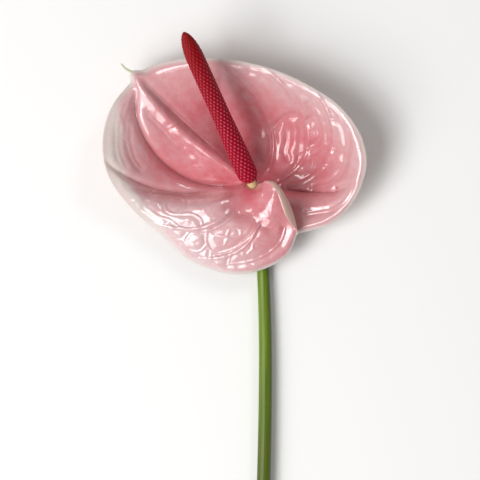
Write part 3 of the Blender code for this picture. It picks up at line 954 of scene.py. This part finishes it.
class StemSettings(bpy.types.PropertyGroup):
    ridges: IntProperty(name="Ridges", description="Faint ridges along the stem", default=11)
    green: FloatVectorProperty(name="Green", description="Colour of the stem", default=linear("#6f8c10"),
                               size=4, subtype="COLOR")
    # Also used for the darker foot and for painted shade along the stem's right side
    olive: FloatVectorProperty(name="Olive", description="Colour of its darker streaks",
                               default=linear("#3c4a00"), size=4, subtype="COLOR")
    stipe: FloatVectorProperty(name="Stipe", description="Colour of the short stalk under the spadix",
                               default=linear("#d9b98a"), size=4, subtype="COLOR")
    cut: FloatVectorProperty(name="Cut", description="Colour of the cut end", default=linear("#c9d3a2"),
                             size=4, subtype="COLOR")


class StageSettings(bpy.types.PropertyGroup):
    pixel: FloatProperty(name="Pixel", description="Width of one picture pixel at the heart's height",
                         default=0.46 * MM, subtype="DISTANCE", unit="LENGTH")
    distance: FloatProperty(name="Camera height", description="Camera above the heart", default=2.2,
                            subtype="DISTANCE", unit="LENGTH")
    key_power: FloatProperty(name="Key light", description="Power of the light from the left",
                             default=13.0, subtype="POWER", unit="POWER")
    sheen_power: FloatProperty(name="Sheen light", description="Power of the light from the lower left",
                               default=8.5, subtype="POWER", unit="POWER")
    fill_power: FloatProperty(name="Fill light", description="Power of the light from the upper right",
                              default=1.6, subtype="POWER", unit="POWER")
    floor: FloatVectorProperty(name="Floor", description="Colour of the floor", default=linear("#fbfaf9"),
                               size=4, subtype="COLOR")


class ANTHURIUM_OT_spathe(bpy.types.Operator):
    """Builds the spathe and the dry tail at its tip"""

    bl_idname = "anthurium.spathe"
    bl_label = "Spathe"

    def execute(self, context):
        settings = context.scene.anthurium_spathe
        roll = np.linspace(-1.0, ROLL_SHARE - 1.0, ROLL_POINTS)
        near = np.linspace(ROLL_SHARE - 1.0, 0.0, NEAR_POINTS)
        far = np.linspace(0.0, 1.0, FAR_POINTS)
        around = np.concatenate([roll, near[1:], far[1:]])[:, None]
        share = np.linspace(0.0, 1.0, OUTWARD_POINTS)[None, :]
        middle, masks = blade(around, share, settings.net_height / MM)
        points = both_faces(middle, around, share, settings.thickness / MM)
        rows, columns = points.shape[:2]
        # The back has every second column of the face, and so have its masks
        above_count = middle.shape[1]
        below_count = columns - above_count - len(RIM_BEND)
        for name, mask in masks.items():
            bend = np.repeat(mask[:, -1:], len(RIM_BEND), axis=1)
            masks[name] = np.concatenate([mask, bend, mask[:, ::-2]], axis=1)
        # The underside's colour comes in round the rim's bend
        masks["side"] = np.concatenate([np.zeros(above_count), (0.2, 0.5, 0.8), np.ones(below_count)])
        faces = grid_faces(rows, columns)
        for start in (0, (rows - 1) * columns):
            faces += margin_faces(start, above_count, below_count)
        make_piece("spathe_blade", points, faces, spathe_material(settings), "spathe", masks)
        points = tail_points()
        make_piece("spathe_tail", points, grid_faces(*points.shape[:2]), tail_material(settings), "spathe")
        return {"FINISHED"}


class ANTHURIUM_OT_spadix(bpy.types.Operator):
    """Builds the spadix with its florets and stigmas"""

    bl_idname = "anthurium.spadix"
    bl_label = "Spadix"

    def execute(self, context):
        settings = context.scene.anthurium_spadix
        points, masks = spadix_surface(settings)
        faces = grid_faces(*points.shape[:2])
        make_piece("spadix_florets", points, faces, spadix_material(settings), "spadix", masks)
        return {"FINISHED"}


class ANTHURIUM_OT_stem(bpy.types.Operator):
    """Builds the stem with its cut end and the stipe that carries the spadix"""

    bl_idname = "anthurium.stem"
    bl_label = "Stem"

    def execute(self, context):
        settings = context.scene.anthurium_stem
        points, masks = stem_surface(settings.ridges)
        faces = grid_faces(*points.shape[:2])
        make_piece("stem_skin", points, faces, stem_material(settings), "stem", masks)
        return {"FINISHED"}


class ANTHURIUM_OT_stage(bpy.types.Operator):
    """Lays the pale floor and sets the lights and the camera, which looks straight down"""

    bl_idname = "anthurium.stage"
    bl_label = "Stage"

    def execute(self, context):
        settings = context.scene.anthurium_stage
        scene = context.scene
        heart = Vector(HEART) * MM
        floor_mesh = bpy.data.meshes.new("floor")
        half = FLOOR_HALF_SIDE
        corners = ((-half, -half, 0.0), (half, -half, 0.0), (half, half, 0.0), (-half, half, 0.0))
        floor_mesh.from_pydata(corners, [], [(0, 1, 2, 3)])
        floor_mesh.materials.append(floor_material(settings))
        floor = bpy.data.objects.new("floor", floor_mesh)
        scene.collection.objects.link(floor)
        floor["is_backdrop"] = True
        powers = (settings.key_power, settings.sheen_power, settings.fill_power)
        for (name, place, size), power in zip(LAMPS, powers):
            lamp = bpy.data.lights.new(name, "AREA")
            lamp.size = size
            lamp.energy = power
            light = bpy.data.objects.new(name, lamp)
            light.location = heart + Vector(place)
            light.rotation_euler = (-Vector(place)).to_track_quat("-Z", "Y").to_euler()
            scene.collection.objects.link(light)
        world = bpy.data.worlds.new("studio")
        scene.world = world
        world.use_nodes = True
        sky = world.node_tree.nodes["Background"]
        sky.inputs[0].default_value = (1.0, 1.0, 1.0, 1.0)
        sky.inputs[1].default_value = WORLD_STRENGTH
        scene.view_settings.view_transform = "Standard"
        # The heart stands in the picture where it stands in the photograph
        camera = bpy.data.cameras.new("camera")
        camera.sensor_width = SENSOR_WIDTH
        camera.lens = SENSOR_WIDTH * settings.distance / (PHOTO_SIDE * settings.pixel)
        camera.clip_end = 20.0
        across = (PHOTO_SIDE / 2.0 - HEART_IN_PHOTO[0]) * settings.pixel
        up = (HEART_IN_PHOTO[1] - PHOTO_SIDE / 2.0) * settings.pixel
        eye = bpy.data.objects.new("camera", camera)
        eye.location = heart + Vector((across, up, settings.distance))
        scene.collection.objects.link(eye)
        scene.camera = eye
        return {"FINISHED"}


class ANTHURIUM_PT_panel(bpy.types.Panel):
    """Lists the pieces and their settings"""

    bl_idname = "ANTHURIUM_PT_panel"
    bl_label = "Cut anthurium stem"
    bl_space_type = "VIEW_3D"
    bl_region_type = "UI"
    bl_category = "Anthurium"

    def draw(self, context):
        for piece in SETTINGS:
            box = self.layout.box()
            settings = getattr(context.scene, "anthurium_" + piece)
            for name in settings.__annotations__:
                box.prop(settings, name)
            box.operator("anthurium." + piece)


SETTINGS = {
    "spathe": SpatheSettings,
    "spadix": SpadixSettings,
    "stem": StemSettings,
    "stage": StageSettings,
}
CLASSES = (
    *SETTINGS.values(),
    ANTHURIUM_OT_spathe,
    ANTHURIUM_OT_spadix,
    ANTHURIUM_OT_stem,
    ANTHURIUM_OT_stage,
    ANTHURIUM_PT_panel,
)


def register():
    for item in CLASSES:
        bpy.utils.register_class(item)
    for piece, settings in SETTINGS.items():
        setattr(bpy.types.Scene, "anthurium_" + piece, PointerProperty(type=settings))


def unregister():
    for piece in SETTINGS:
        delattr(bpy.types.Scene, "anthurium_" + piece)
    for item in reversed(CLASSES):
        bpy.utils.unregister_class(item)


def main():
    register()
    bpy.ops.anthurium.spathe()
    bpy.ops.anthurium.spadix()
    bpy.ops.anthurium.stem()
    bpy.ops.anthurium.stage()
    boxes = {"cad": CAD_BOX, "visual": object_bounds()}
    boxes = {name: [[float(value) for value in corner] for corner in box] for name, box in boxes.items()}


if __name__ == "__main__":
    main()
